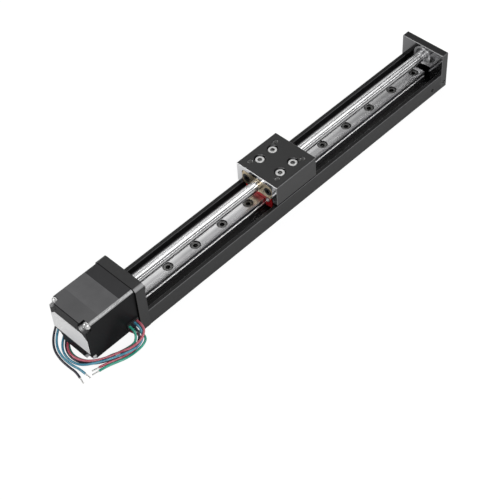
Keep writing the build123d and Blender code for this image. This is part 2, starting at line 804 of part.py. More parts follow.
# Leads: four insulated wires that curl round the motor's rear on the bench, each with a tinned end.
# Points are counted from the outlet's face, along X and to the left, with the height above the floor.
lead_routes = {
    "lead_red": [
        (1.0, -7.2, 9.6), (-3.0, -8.8, 7.8), (-8.5, -7.4, 5.5), (-13.0, -3.5, 2.9), (-18.5, -1.0, 2.1),
        (-23.6, 1.6, 2.1), (-27.8, 5.2, 2.1), (-30.4, 10.0, 2.1), (-30.7, 15.2, 2.2), (-28.4, 20.0, 2.1),
        (-24.0, 23.2, 2.2), (-18.8, 25.0, 1.9), (-13.6, 25.0, 1.0), (-9.0, 22.6, 0.7), (-5.6, 18.4, 0.7),
        (-3.2, 13.2, 0.7), (-1.2, 7.6, 0.7), (0.6, 2.6, 0.7), (1.6, -2.0, 0.7), (-0.9, -5.4, 0.7),
        (-5.8, -6.3, 0.7), (-11.5, -5.9, 0.7), (-17.3, -3.9, 0.7), (-22.2, -2.1, 0.7), (-25.8, -1.2, 0.7),
    ],
    "lead_blue": [
        (-0.3, -7.3, 7.3), (-4.5, -9.1, 5.3), (-9.6, -7.3, 3.5), (-15.0, -4.3, 2.4), (-20.7, -1.6, 2.1),
        (-26.2, 1.4, 2.2), (-30.7, 5.6, 1.2), (-32.7, 10.7, 0.8), (-32.7, 16.2, 0.7), (-30.7, 21.4, 0.7),
        (-26.4, 26.0, 0.7), (-21.0, 29.3, 0.7), (-15.0, 31.9, 0.7), (-8.4, 34.2, 0.7), (-3.3, 37.3, 0.7),
        (-2.5, 41.4, 0.7), (-4.6, 44.5, 0.7), (-9.8, 45.6, 0.7), (-15.1, 40.1, 0.7), (-21.0, 34.7, 0.7),
        (-27.8, 29.5, 0.7), (-32.4, 23.3, 0.7), (-34.2, 16.3, 0.7), (-34.1, 10.0, 0.7), (-33.0, 5.2, 0.7),
        (-33.0, 1.2, 0.7),
    ],
    "lead_black": [
        (-2.1, -6.8, 7.8), (-5.7, -7.3, 3.3), (-11.1, -4.7, 1.6), (-16.4, -2.7, 0.7), (-21.9, -0.5, 0.7),
        (-26.9, 3.2, 0.7), (-30.2, 8.3, 0.7), (-31.3, 13.8, 0.7), (-29.8, 19.4, 0.7), (-26.0, 24.2, 0.7),
        (-20.6, 27.7, 0.7), (-14.6, 30.4, 0.7), (-8.2, 32.7, 0.7), (-1.5, 36.2, 0.7), (1.2, 42.6, 0.7),
        (-3.1, 48.6, 0.7), (-10.9, 47.5, 0.7), (-16.2, 41.1, 0.7), (-22.2, 35.9, 0.7), (-29.0, 30.7, 0.7),
        (-33.9, 24.1, 0.7), (-35.7, 16.6, 0.7), (-35.8, 10.0, 0.7), (-35.4, 5.0, 0.7), (-36.4, 1.2, 0.7),
    ],
    "lead_green": [
        (-4.3, -6.5, 8.1), (-6.6, -6.7, 5.4), (-12.6, -2.0, 0.7), (-16.8, 0.0, 0.7), (-21.9, 1.2, 0.7),
        (-26.3, 4.9, 0.7), (-29.0, 9.5, 0.7), (-29.6, 14.5, 0.7), (-28.0, 19.4, 0.7), (-24.4, 23.4, 0.7),
        (-19.4, 26.2, 0.7), (-13.6, 26.8, 0.7), (-8.0, 24.4, 0.7), (-4.2, 19.6, 0.7), (-1.7, 14.0, 0.7),
        (0.2, 8.6, 0.7), (1.8, 3.6, 0.7), (3.6, -1.2, 0.7), (2.3, -5.7, 0.7), (-1.9, -7.5, 0.7),
        (-7.2, -7.8, 0.7), (-12.8, -7.2, 0.7), (-18.4, -5.1, 0.7), (-23.4, -3.4, 0.7), (-27.2, -2.8, 0.7),
    ],
}


def bend_radii(points):
    """Radius of each bend: 0.45 of the shorter run over the tangent of half the turn."""
    radii = []
    for before, corner, after in zip(points, points[1:], points[2:]):
        turn = math.radians((corner - before).get_angle(after - corner))
        shorter = min((corner - before).length, (after - corner).length)
        radii.append(0.45 * shorter / math.tan(turn / 2))
    return radii


def make_lead(index, route):
    """One lead with its tinned end, swept along straight runs and tangent arcs."""
    first = Vector(outlet_x + lead_pitch * (1.5 - index), outlet_face, outlet_z)
    points = [first, first - Vector(0, lead_exit_run, 0)]
    points += [Vector(outlet_x + x, outlet_face + y, z) for x, y, z in route]
    radii = bend_radii(points)
    path = FilletPolyline(*points, radius=radii)
    section = Plane(origin=first, z_dir=points[1] - first) * Circle(lead_diameter / 2)
    lead = sweep(section, path=path)
    end_plane = Plane(origin=points[-1], z_dir=points[-1] - points[-2])
    tip = extrude(end_plane * Circle(lead_tip_diameter / 2), amount=lead_tip_length)
    straight = math.pi * (lead_diameter / 2) ** 2 * path.length
    print("lead", index, "length", round(path.length, 1), "least radius", round(min(radii), 1))
    print("bend radii", [round(radius, 1) for radius in radii])
    print("volume", round(lead.volume, 2), "section times length", round(straight, 2))
    return lead, tip


for index, (name, route) in enumerate(lead_routes.items()):
    lead, tip = make_lead(index, route)
    nodes[name] = lead
    nodes[name.replace("lead", "tip")] = tip


# Bearings: rings with a ball groove, balls, and thin shields on both faces
def make_bearing(name, size, start):
    """One ball bearing along the screw axis, as four nodes."""
    bore, outer, width = size
    inner_r, outer_r = bore / 2, outer / 2
    wall = outer_r - inner_r
    ball_radius = wall * 0.3
    pitch_radius = inner_r + wall * 0.5
    land = ball_radius * 0.62
    end = start + width
    middle = start + width / 2
    groove = Rot(0, 90, 0) * Torus(pitch_radius, ball_radius + running_clearance)
    groove = place(middle, 0, axis_height, groove)
    outer_ring = tube(outer_r, pitch_radius + land, start, end, 0, axis_height) - groove
    inner_ring = tube(pitch_radius - land, inner_r, start, end, 0, axis_height) - groove
    balls = []
    for i in range(bearing_ball_count):
        angle = 2 * math.pi * i / bearing_ball_count
        y, z = pitch_radius * math.cos(angle), pitch_radius * math.sin(angle)
        balls.append(place(middle, y, axis_height + z, Sphere(ball_radius)))
    shields = []
    for shield_start in (start + 0.15, end - 0.15 - bearing_shield_thickness):
        shields.append(tube(
            pitch_radius + land, pitch_radius - land + 0.1, shield_start,
            shield_start + bearing_shield_thickness, 0, axis_height
        ))
    nodes[name + "_outer_ring"] = outer_ring
    nodes[name + "_inner_ring"] = inner_ring
    nodes[name + "_balls"] = group(balls)
    nodes[name + "_shields"] = group(shields)


end_bearing_start = base_end - end_bearing_proud
make_bearing("end_bearing", end_bearing_size, end_bearing_start)
make_bearing("front_bearing", motor_bearing_size, front_bearing_start)
make_bearing("rear_bearing", motor_bearing_size, rear_bearing_start)


# Wave washer: takes up end play behind the rear bearing
def make_wave_washer():
    """A thin ring between the rear bearing and its seat."""
    outer = bearing_outer / 2 - 0.2
    inner = bearing_outer / 2 - 1.3
    middle = rear_bearing_start - wave_washer_height / 2
    half = wave_washer_thickness / 2
    return tube(outer, inner, middle - half, middle + half, 0, axis_height)


nodes["wave_washer"] = make_wave_washer()


# Lead screw: threaded between the plates, with a turned journal at each end
def make_lead_screw():
    """The screw, in one piece with the motor's shaft."""
    thread_start = motor_face + pilot_height + 0.5
    thread_end = end_bearing_start
    screw = rod(screw_diameter / 2, thread_start, thread_end, 0, axis_height)
    journal_end = end_bearing_start + end_bearing_size[2] + 0.5
    screw += rod(screw_journal_diameter / 2 - running_clearance, thread_end, journal_end, 0, axis_height)
    shaft_start = rear_bearing_start - 0.2
    screw += rod(motor_journal_diameter / 2 - running_clearance, shaft_start, thread_start, 0, axis_height)
    return screw


nodes["lead_screw"] = make_lead_screw()


os.makedirs("parts", exist_ok=True)
for name, shape in nodes.items():
    export_step(shape, "parts/" + name + ".step")
    print(name, len(shape.solids()), "solids", round(shape.volume, 2), "mm3")
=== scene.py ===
import math

import bmesh
import bpy
import numpy as np
from mathutils import Matrix, Vector


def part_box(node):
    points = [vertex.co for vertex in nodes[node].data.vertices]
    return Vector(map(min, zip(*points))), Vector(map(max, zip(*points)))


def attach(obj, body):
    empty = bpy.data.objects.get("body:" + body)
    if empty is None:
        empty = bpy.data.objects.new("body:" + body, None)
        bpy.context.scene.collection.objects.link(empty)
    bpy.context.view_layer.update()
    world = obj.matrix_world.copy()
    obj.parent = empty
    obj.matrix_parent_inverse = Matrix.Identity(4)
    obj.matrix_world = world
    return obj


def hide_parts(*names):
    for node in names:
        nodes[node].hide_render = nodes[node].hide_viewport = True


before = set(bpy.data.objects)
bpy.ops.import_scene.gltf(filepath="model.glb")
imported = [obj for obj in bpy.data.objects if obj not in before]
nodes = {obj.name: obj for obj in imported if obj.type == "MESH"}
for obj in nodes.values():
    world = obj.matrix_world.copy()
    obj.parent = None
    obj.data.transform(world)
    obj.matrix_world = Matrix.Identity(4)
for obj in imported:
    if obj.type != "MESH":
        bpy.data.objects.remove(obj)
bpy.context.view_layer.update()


# Camera: a fairly long lens that looks down along the slide from the motor's right side.
# Its place, turn and small shift were fitted to the straight edges of the standard parts.
camera_right = Vector((0.69511, -0.71695, -0.05296)).normalized()
camera_forward = Vector((0.44420, 0.48626, -0.75248)).normalized()
camera_up = camera_right.cross(camera_forward)
camera = bpy.data.objects.new("camera", bpy.data.cameras.new("camera"))
camera.data.lens = 93.59
camera.data.sensor_width = 36.0
camera.data.shift_x = 0.0041
camera.data.clip_start = 0.05
camera_place = Matrix.Translation((-0.3566, -0.3544, 0.5218))
camera_turn = Matrix((camera_right, camera_up, -camera_forward)).transposed()
camera.matrix_world = camera_place @ camera_turn.to_4x4()
bpy.context.scene.collection.objects.link(camera)
bpy.context.scene.camera = camera


# Motor leads: four thin, limp copper wires in extruded insulation, moulded into the outlet at the
# motor's foot. They curl round its rear and loop behind it: two come back at its left and two
# beneath it. Each end is stripped, twisted and tinned.
class Value:
    """What one node of a finish gives, so that the shading reads as arithmetic."""

    def __init__(self, finish, socket):
        self.finish = finish
        self.socket = socket

    def math(self, operation, first, second):
        return self.finish.node("ShaderNodeMath", {"operation": operation}, {0: first, 1: second})

    def __add__(self, other):
        return self.math("ADD", self, other)

    def __sub__(self, other):
        return self.math("SUBTRACT", self, other)

    def __rsub__(self, other):
        return self.math("SUBTRACT", other, self)

    def __mul__(self, other):
        return self.math("MULTIPLY", self, other)

    def __truediv__(self, other):
        return self.math("DIVIDE", self, other)

    __radd__ = __add__
    __rmul__ = __mul__


class Finish:
    """The nodes of one material or of the world."""

    def __init__(self, owner):
        self.owner = owner
        owner.use_nodes = True
        self.tree = owner.node_tree
        self.tree.nodes.clear()

    def node(self, kind, settings, inputs, output=0):
        """Make a node, set it up, feed its inputs and give one of its outputs."""
        made = self.tree.nodes.new(kind)
        for key, value in settings.items():
            if key == "stops":
                points = made.color_ramp.elements
                while len(points) < len(value):
                    points.new(0.5)
                for point, (place, shade) in zip(points, value):
                    point.position = place
                    point.color = (shade, shade, shade, 1.0)
            else:
                setattr(made, key, value)
        for key, value in inputs.items():
            self.feed(made.inputs[key], value)
        return Value(self, made.outputs[output]) if made.outputs else made

    def feed(self, socket, value):
        """Link a worked out value to an input, or write a plain number or colour there."""
        if isinstance(value, Value):
            self.tree.links.new(value.socket, socket)
        elif isinstance(value, tuple) and socket.type == "RGBA":
            socket.default_value = (*value[:3], 1.0)
        else:
            socket.default_value = value

    def place(self, along=1.0, across=1.0, up=1.0):
        """The point on the object in millimetres, times a factor along each axis."""
        point = self.node("ShaderNodeTexCoord", {}, {}, "Object")
        scale = (1000 * along, 1000 * across, 1000 * up)
        return self.node("ShaderNodeMapping", {}, {"Vector": point, "Scale": scale})

    def part(self, vector, axis):
        """One of the three numbers of a vector."""
        return self.node("ShaderNodeSeparateXYZ", {}, {0: vector}, axis)

    def vector(self, operation, inputs, output=0):
        """A vector, or its length, worked out from one or two vectors."""
        return self.node("ShaderNodeVectorMath", {"operation": operation}, inputs, output)

    def noise(self, place, scale, detail=3.0):
        """Soft random value about 0.5, with about one patch in each 1 / scale."""
        inputs = {"Vector": place, "Scale": scale, "Detail": detail}
        return self.node("ShaderNodeTexNoise", {}, inputs)

    def ripple(self, place, scale):
        """Slanting bands, such as wires laid side by side."""
        inputs = {"Vector": place, "Scale": scale}
        return self.node("ShaderNodeTexWave", {"bands_direction": "DIAGONAL"}, inputs)

    def steps(self, value, *stops):
        """A value led through the stops of a ramp."""
        return self.node("ShaderNodeValToRGB", {"stops": stops}, {0: value})

    def mixed(self, share, first, second):
        """The second colour laid over the first by a share."""
        return self.node("ShaderNodeMix", {"data_type": "RGBA"}, {0: share, 6: first, 7: second}, 2)

    def bump(self, height, distance, strength=1.0, under=None):
        """A normal from a height, with the distance in millimetres."""
        inputs = {"Height": height, "Distance": distance / 1000, "Strength": strength}
        if under is not None:
            inputs["Normal"] = under
        return self.node("ShaderNodeBump", {}, inputs)

    def coat(self, **inputs):
        """The main shader with its inputs, led to the output."""
        named = {key.replace("_", " "): value for key, value in inputs.items()}
        shader = self.node("ShaderNodeBsdfPrincipled", {}, named)
        self.node("ShaderNodeOutputMaterial", {}, {"Surface": shader})
        return self.owner


def finish(name):
    """An empty material to fill."""
    return Finish(bpy.data.materials.new(name))


def dress(material, *names):
    """Give CAD nodes a material in place of their plain one."""
    for name in names:
        for slot in nodes[name].material_slots:
            slot.material = material


def insulation(name, colour, pale):
    """Glossy extruded insulation, slightly uneven in tone, with faint draw lines."""
    skin = finish(name)
    place = skin.place()
    tone = skin.noise(place, 0.25)
    grain = skin.noise(place, 5.0)
    shade = skin.mixed(skin.steps(tone, (0.35, 0.0), (0.7, 1.0)), colour, pale)
    return skin.coat(
        Base_Color=shade, Roughness=0.2 + 0.14 * grain, Normal=skin.bump(grain, 0.02, 0.4),
        Coat_Weight=0.25, Coat_Roughness=0.12,
    )


def tinned():
    """Twisted copper strands under solder: a fine slanting ripple in bright tin."""
    skin = finish("tinned_strands")
    ripple = skin.ripple(skin.place(1.0, 0.35, 1.0), 1.3)
    cloud = skin.noise(skin.place(), 1.5)
    shade = skin.mixed(cloud, (0.72, 0.71, 0.69), (0.9, 0.89, 0.87))
    return skin.coat(
        Base_Color=shade, Metallic=1.0, Roughness=0.22 + 0.2 * cloud,
        Normal=skin.bump(ripple, 0.06),
    )


lead_diameter = 0.0013
outlet_x = -0.128
outlet_face = -0.0148
outlet_z = 0.0104
lead_pitch = 0.0017
lead_middle = 1.5
lead_exit_run = 0.0039
lead_colours = {
    "red": ((0.6, 0.09, 0.14), (0.82, 0.27, 0.33)),
    "blue": ((0.05, 0.27, 0.42), (0.18, 0.5, 0.64)),
    "black": ((0.014, 0.012, 0.022), (0.036, 0.03, 0.055)),
    "green": ((0.015, 0.34, 0.24), (0.09, 0.58, 0.42)),
}
lead_routes = {
    "red": [
        (1.0, -7.2, 9.6), (-3.0, -8.8, 7.8), (-8.5, -7.4, 5.5), (-13.0, -3.5, 2.9),
        (-18.5, -1.0, 2.1), (-23.6, 1.6, 2.1), (-27.8, 5.2, 2.1), (-30.4, 10.0, 2.1),
        (-30.7, 15.2, 2.2), (-28.4, 20.0, 2.1), (-24.0, 23.2, 2.2), (-18.8, 25.0, 1.9),
        (-13.6, 25.0, 1.0), (-9.0, 22.6, 0.7), (-5.6, 18.4, 0.7), (-3.2, 13.2, 0.7),
        (-1.2, 7.6, 0.7), (0.6, 2.6, 0.7), (1.6, -2.0, 0.7), (-0.9, -5.4, 0.7), (-5.8, -6.3, 0.7),
        (-11.5, -5.9, 0.7), (-17.3, -3.9, 0.7), (-22.2, -2.1, 0.7), (-25.8, -1.2, 0.7),
    ],
    "blue": [
        (-0.3, -7.3, 7.3), (-4.5, -9.1, 5.3), (-9.6, -7.3, 3.5), (-15.0, -4.3, 2.4),
        (-20.7, -1.6, 2.1), (-26.2, 1.4, 2.2), (-30.7, 5.6, 1.2), (-32.7, 10.7, 0.8),
        (-32.7, 16.2, 0.7), (-30.7, 21.4, 0.7), (-26.4, 26.0, 0.7), (-21.0, 29.3, 0.7),
        (-15.0, 31.9, 0.7), (-8.4, 34.2, 0.7), (-3.3, 37.3, 0.7), (-2.5, 41.4, 0.7),
        (-4.6, 44.5, 0.7), (-9.8, 45.6, 0.7), (-15.1, 40.1, 0.7), (-21.0, 34.7, 0.7),
        (-27.8, 29.5, 0.7), (-32.4, 23.3, 0.7), (-34.2, 16.3, 0.7), (-34.1, 10.0, 0.7),
        (-33.0, 5.2, 0.7), (-33.0, 1.2, 0.7),
    ],
    "black": [
        (-2.1, -6.8, 7.8), (-5.7, -7.3, 3.3), (-11.1, -4.7, 1.6), (-16.4, -2.7, 0.7),
        (-21.9, -0.5, 0.7), (-26.9, 3.2, 0.7), (-30.2, 8.3, 0.7), (-31.3, 13.8, 0.7),
        (-29.8, 19.4, 0.7), (-26.0, 24.2, 0.7), (-20.6, 27.7, 0.7), (-14.6, 30.4, 0.7),
        (-8.2, 32.7, 0.7), (-1.5, 36.2, 0.7), (1.2, 42.6, 0.7), (-3.1, 48.6, 0.7),
        (-10.9, 47.5, 0.7), (-16.2, 41.1, 0.7), (-22.2, 35.9, 0.7), (-29.0, 30.7, 0.7),
        (-33.9, 24.1, 0.7), (-35.7, 16.6, 0.7), (-35.8, 10.0, 0.7), (-35.4, 5.0, 0.7),
        (-36.4, 1.2, 0.7),
    ],
    "green": [
        (-4.3, -6.5, 8.1), (-6.6, -6.7, 5.4), (-12.6, -2.0, 0.7), (-16.8, 0.0, 0.7),
        (-21.9, 1.2, 0.7), (-26.3, 4.9, 0.7), (-29.0, 9.5, 0.7), (-29.6, 14.5, 0.7),
        (-28.0, 19.4, 0.7), (-24.4, 23.4, 0.7), (-19.4, 26.2, 0.7), (-13.6, 26.8, 0.7),
        (-8.0, 24.4, 0.7), (-4.2, 19.6, 0.7), (-1.7, 14.0, 0.7), (0.2, 8.6, 0.7), (1.8, 3.6, 0.7),
        (3.6, -1.2, 0.7), (2.3, -5.7, 0.7), (-1.9, -7.5, 0.7), (-7.2, -7.8, 0.7),
        (-12.8, -7.2, 0.7), (-18.4, -5.1, 0.7), (-23.4, -3.4, 0.7), (-27.2, -2.8, 0.7),
    ],
}


def lead_curve(name, index, route):
    """A round wire on a smooth NURBS line, with the route's points as its control points."""
    start = (outlet_x + lead_pitch * (lead_middle - index), outlet_face, outlet_z)
    points = [start, (start[0], start[1] - lead_exit_run, start[2])]
    points += [(outlet_x + x / 1000, outlet_face + y / 1000, z / 1000) for x, y, z in route]
    curve = bpy.data.curves.new(name, "CURVE")
    curve.dimensions = "3D"
    line = curve.splines.new("NURBS")
    line.points.add(len(points) - 1)
    for spot, point in zip(line.points, points):
        spot.co = (*point, 1.0)
    line.order_u = 3
    line.use_endpoint_u = True
    line.resolution_u = 6
    curve.bevel_depth = lead_diameter / 2
    curve.bevel_resolution = 3
    curve.use_fill_caps = True
    wire = bpy.data.objects.new(name, curve)
    bpy.context.scene.collection.objects.link(wire)
    return wire, start


dress(tinned(), *["tip_" + colour for colour in lead_routes])
for index, (colour, route) in enumerate(lead_routes.items()):
    wire, start = lead_curve("wire_" + colour, index, route)
    wire.data.materials.append(insulation("insulation_" + colour, *lead_colours[colour]))
    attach(wire, "frame")
    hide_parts("lead_" + colour)


# Base channel: extruded aluminium, cut to length and anodised black. The die leaves faint lines
# along it, and the broken edges shine a little where the anodising is thin. What faces up has a
# painted shade that makes it nearly black.
# Grey for the painted highlight on one top edge of an anodised part.
highlight_grey = (0.42, 0.42, 0.425)
thin_black = (0.17, 0.17, 0.175)
rubbed_black = (0.2, 0.2, 0.205)
# Black for the painted shade on anodised faces that look up.
top_shade_black = (0.0, 0.0, 0.0)


def facing(skin):
    """The way that a face looks."""
    return skin.node("ShaderNodeNewGeometry", {}, {}, "Normal")


def edge_share(skin):
    """How far a face leans between the main directions: 1 on chamfers and 0 on flat sides."""
    lengths = skin.vector("ABSOLUTE", {0: facing(skin)})
    parts = [skin.part(lengths, axis) for axis in range(3)]
    largest = parts[0].math("MAXIMUM", parts[0].math("MAXIMUM", parts[0], parts[1]), parts[2])
    return skin.steps(largest, (0.78, 1.0), (0.93, 0.0))


def facing_up(skin):
    """How far a face looks straight up."""
    return skin.steps(skin.part(facing(skin), 2), (0.8, 0.0), (0.97, 1.0))


def facing_motor(skin):
    """How far a face looks back along the slide, towards the motor."""
    return skin.steps(0.0 - skin.part(facing(skin), 0), (0.8, 0.0), (0.97, 1.0))


def upper_edge(skin, axis):
    """How far a face leans halfway between straight up and the negative way of an axis."""
    normal = facing(skin)
    away, up = skin.part(normal, axis), skin.part(normal, 2)
    return skin.steps((up - away) / 1.5, (0.8, 0.0), (0.92, 1.0))


def anodised(
    name, dark, pale, lines, rough=0.36, edge=thin_black, shine=0.4, top_shade_share=0.9, mirror=None,
    highlight_axis=0,
):
    """Black anodising: fine blasted grain, faint lines one way, cloudy tone and worn edges. Faces
    that look up get a painted shade, darker by a share. Where a mirror shade is given, the end
    towards the motor is smooth in that shade, and one top edge gets a painted highlight in bare
    grey."""
    skin = finish(name)
    streak = skin.noise(skin.place(*lines), 1.0, 4.0)
    cloud = skin.noise(skin.place(), 0.06, 4.0)
    grain = skin.noise(skin.place(), 7.0, 2.0)
    shade = skin.mixed(0.55 * streak + 0.45 * cloud, dark, pale)
    wear_and_highlight = edge_share(skin) * (0.4 + 0.6 * streak)
    shade = skin.mixed(wear_and_highlight, shade, edge)
    bright_end, top_edge_highlight = 0.0, 0.0
    if mirror is not None:
        bright_end, top_edge_highlight = facing_motor(skin), upper_edge(skin, highlight_axis)
        shade = skin.mixed(bright_end, shade, mirror)
        # Painted highlight: one top edge, picked by the way it faces, is lightened to a bare metal
        # grey.
        shade = skin.mixed(top_edge_highlight, shade, highlight_grey)
    # Painted shade: faces that look up are darkened towards black by a share.
    shade = skin.mixed(top_shade_share * facing_up(skin), shade, top_shade_black)
    rub = skin.bump(streak, 0.012, 0.35)
    return skin.coat(
        Base_Color=shade, Metallic=bright_end + 0.35 * top_edge_highlight,
        Roughness=(rough - 0.08 + 0.1 * cloud + 0.06 * grain) * (1.0 - 0.6 * bright_end),
        Normal=skin.bump(grain, 0.012, 0.35, rub), Specular_IOR_Level=shine,
    )


channel_skin = anodised(
    "anodised_channel", (0.01, 0.01, 0.0105), (0.024, 0.024, 0.025), (0.02, 2.6, 2.6)
)
dress(channel_skin, "base_channel")


# Guide rail: hardened steel, ground on top and along its raceways. The grinding leaves fine
# bright and dull lines along it, its colour is duller along the middle, and its top chamfers carry
# a painted dark shade.
middle_band_offset = 0.7
middle_band_reach = 4.0
middle_band_steel = (0.3, 0.3, 0.31)
chamfer_shade_steel = (0.02, 0.02, 0.02)


def ground_steel(name, dull, bright, lines, rough, chamfer_shade_above=None):
    """Ground steel: long fine lines one way, with broad cloudy patches over them. Chamfers above
    a height in millimetres get a painted dark shade, and the colour is duller along the middle."""
    skin = finish(name)
    line = skin.noise(skin.place(*lines), 1.0, 5.0)
    cloud = skin.noise(skin.place(0.4, 1.0, 1.0), 0.09, 3.0)
    shade = skin.mixed(skin.steps(line, (0.25, 0.0), (0.72, 1.0)), dull, bright)
    shade = skin.mixed(0.5 * skin.steps(cloud, (0.4, 0.0), (0.68, 1.0)), shade, dull)
    if chamfer_shade_above is not None:
        # Duller grey along the middle of the rail's top.
        across = skin.part(skin.place(), 1)
        away = across.math("ABSOLUTE", across + middle_band_offset, 0.0) / middle_band_reach
        middle = skin.steps(away, (0.05, 1.0), (0.5, 0.0))
        shade = skin.mixed(0.5 * middle * (0.5 + cloud), shade, middle_band_steel)
        # Painted shade: chamfers above the given height are darkened near to black.
        height = skin.part(skin.place(), 2)
        shaded_chamfer = edge_share(skin) * height.math("GREATER_THAN", height, chamfer_shade_above)
        shade = skin.mixed(0.9 * shaded_chamfer, shade, chamfer_shade_steel)
    return skin.coat(
        Base_Color=shade, Metallic=1.0, Roughness=rough + 0.12 * cloud + 0.08 * line,
        Normal=skin.bump(line, 0.003, 0.4),
    )


rail_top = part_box("guide_rail")[1][2] * 1000
chamfer_depth = 0.8
rail_steel = ground_steel(
    "ground_rail", (0.72, 0.72, 0.73), (0.98, 0.98, 0.98), (0.012, 3.0, 3.0), 0.18,
    rail_top - chamfer_depth,
)
dress(rail_steel, "guide_rail")


# Rail screws: steel socket screws, cold headed and dark with oil, one in each counterbore of the
# rail. The table screws on the carriage are the same kind, zinc plated and cleaner.
socket_start = 0.35
socket_end = 1.2
socket_shade = (0.02, 0.019, 0.018)
rail_head_top = 9.0
table_head_top = 24.3


def plated(name, dull, bright, rough, head_top=None):
    """Plated or blackened steel, lightly worn and pitted. Below a head's top, in millimetres, the
    sides of the key's socket get a painted shade, down to its floor."""
    skin = finish(name)
    patch = skin.noise(skin.place(), 0.9, 4.0)
    pit = skin.noise(skin.place(), 6.0, 2.0)
    shade = skin.mixed(skin.steps(patch, (0.35, 0.0), (0.65, 1.0)), dull, bright)
    if head_top is not None:
        depth = head_top - skin.part(skin.place(), 2)
        below_start = depth.math("GREATER_THAN", depth, socket_start)
        below_end = depth.math("GREATER_THAN", depth, socket_end)
        # Painted shade inside the key's socket, from just below the head's top down to its floor.
        shade = skin.mixed(0.92 * (below_start - below_end), shade, socket_shade)
    return skin.coat(
        Base_Color=shade, Metallic=1.0, Roughness=rough + 0.2 * pit,
        Normal=skin.bump(pit, 0.01, 0.4),
    )


bright_plate = plated("bright_plated", (0.72, 0.72, 0.72), (0.93, 0.93, 0.92), 0.24)
oiled = plated("oiled_plated", (0.09, 0.09, 0.09), (0.24, 0.24, 0.236), 0.2, rail_head_top)
clean = plated("table_plated", (0.6, 0.6, 0.6), (0.9, 0.9, 0.89), 0.2, table_head_top)
dress(oiled, "rail_screws")
dress(clean, "table_screws")


# Carriage: a hardened steel saddle on two circuits of balls. Moulded caps at its ends turn the
# balls round, and red rubber seals wipe the rail.
def moulded(name, dark, pale, rough=0.32):
    """Moulded plastic: fine spark eroded texture with a soft, slightly uneven gloss."""
    skin = finish(name)
    grain = skin.noise(skin.place(), 4.0, 3.0)
    cloud = skin.noise(skin.place(), 0.3, 2.0)
    shade = skin.mixed(cloud, dark, pale)
    return skin.coat(
        Base_Color=shade, Roughness=rough + 0.18 * grain, Normal=skin.bump(grain, 0.02, 0.5)
    )


saddle_steel = ground_steel(
    "ground_saddle", (0.42, 0.42, 0.43), (0.7, 0.7, 0.7), (0.05, 4.0, 4.0), 0.18
)
black_caps = moulded("black_caps", (0.012, 0.012, 0.013), (0.026, 0.026, 0.028))
red_seal = moulded("red_seal", (0.44, 0.004, 0.01), (0.66, 0.012, 0.018), 0.2)
dress(saddle_steel, "carriage_body")
dress(black_caps, "end_cap_motor_side", "end_cap_far_side")
dress(red_seal, "end_seal_motor_side", "end_seal_far_side")
polished = plated("polished_balls", (0.68, 0.68, 0.69), (0.86, 0.86, 0.86), 0.03)
dress(polished, "carriage_balls")
dress(bright_plate, "end_cap_screws")


# Table block: milled from aluminium and anodised black, with a pocket for the nut, four
# counterbored holes and four threaded holes for the load. Its end towards the motor is bright.
# Its top edge towards the motor has a painted highlight, and its top a painted shade.
block_skin = anodised(
    "anodised_block", (0.012, 0.012, 0.0125), (0.028, 0.028, 0.029), (0.25, 1.8, 1.8), rough=0.3,
    edge=rubbed_black, shine=0.6, top_shade_share=0.8, mirror=(0.86, 0.86, 0.87),
)
dress(block_skin, "table_block")


def grid_faces(rows, columns, start):
    """Corner numbers of the cells of a grid that closes round its columns."""
    index = start + np.arange(rows * columns).reshape(rows, columns)
    index = np.hstack([index, index[:, :1]])
    cells = (index[:-1, :-1], index[:-1, 1:], index[1:, 1:], index[1:, :-1])
    return np.stack(cells, axis=-1).reshape(-1, 4)


def shell(name, grids, material, smooth_below=40):
    """One mesh from grids of points that close round their columns and end in single points."""
    faces = []
    start = 0
    for grid in grids:
        faces.append(grid_faces(*grid.shape[:2], start))
        start += grid.shape[0] * grid.shape[1]
    points = np.concatenate([grid.reshape(-1, 3) for grid in grids])
    mesh = bpy.data.meshes.new(name)
    mesh.from_pydata(points.tolist(), [], np.concatenate(faces).tolist())
    work = bmesh.new()
    work.from_mesh(mesh)
    bmesh.ops.remove_doubles(work, verts=work.verts, dist=1e-7)
    bmesh.ops.recalc_face_normals(work, faces=work.faces)
    work.to_mesh(mesh)
    work.free()
    mesh.polygons.foreach_set("use_smooth", np.ones(len(mesh.polygons), dtype=bool))
    mesh.set_sharp_from_angle(angle=math.radians(smooth_below))
    mesh.materials.append(material)
    made = bpy.data.objects.new(name, mesh)
    bpy.context.scene.collection.objects.link(made)
    return made


def thread_ridge(section, pitch, turns, facets):
    """A ridge on a right-hand helix: each row is the section turned by one facet and moved on by
    its share of the pitch, and the section shrinks to its base over half a turn at each end. The
    places along the axis, the radii and the angles come back."""
    run_out = 0.5
    step = np.arange(int(turns * facets) + 1) / facets
    angle = 2 * math.pi * step[:, None]
    height = np.clip(np.minimum(step, step[-1] - step) / run_out, 0.0, 1.0)[:, None]
    offset, reach = np.array(section).T[:, None, :]
    base = section[0][1]
    return step[:, None] * pitch + offset * height, base + (reach - base) * height, angle


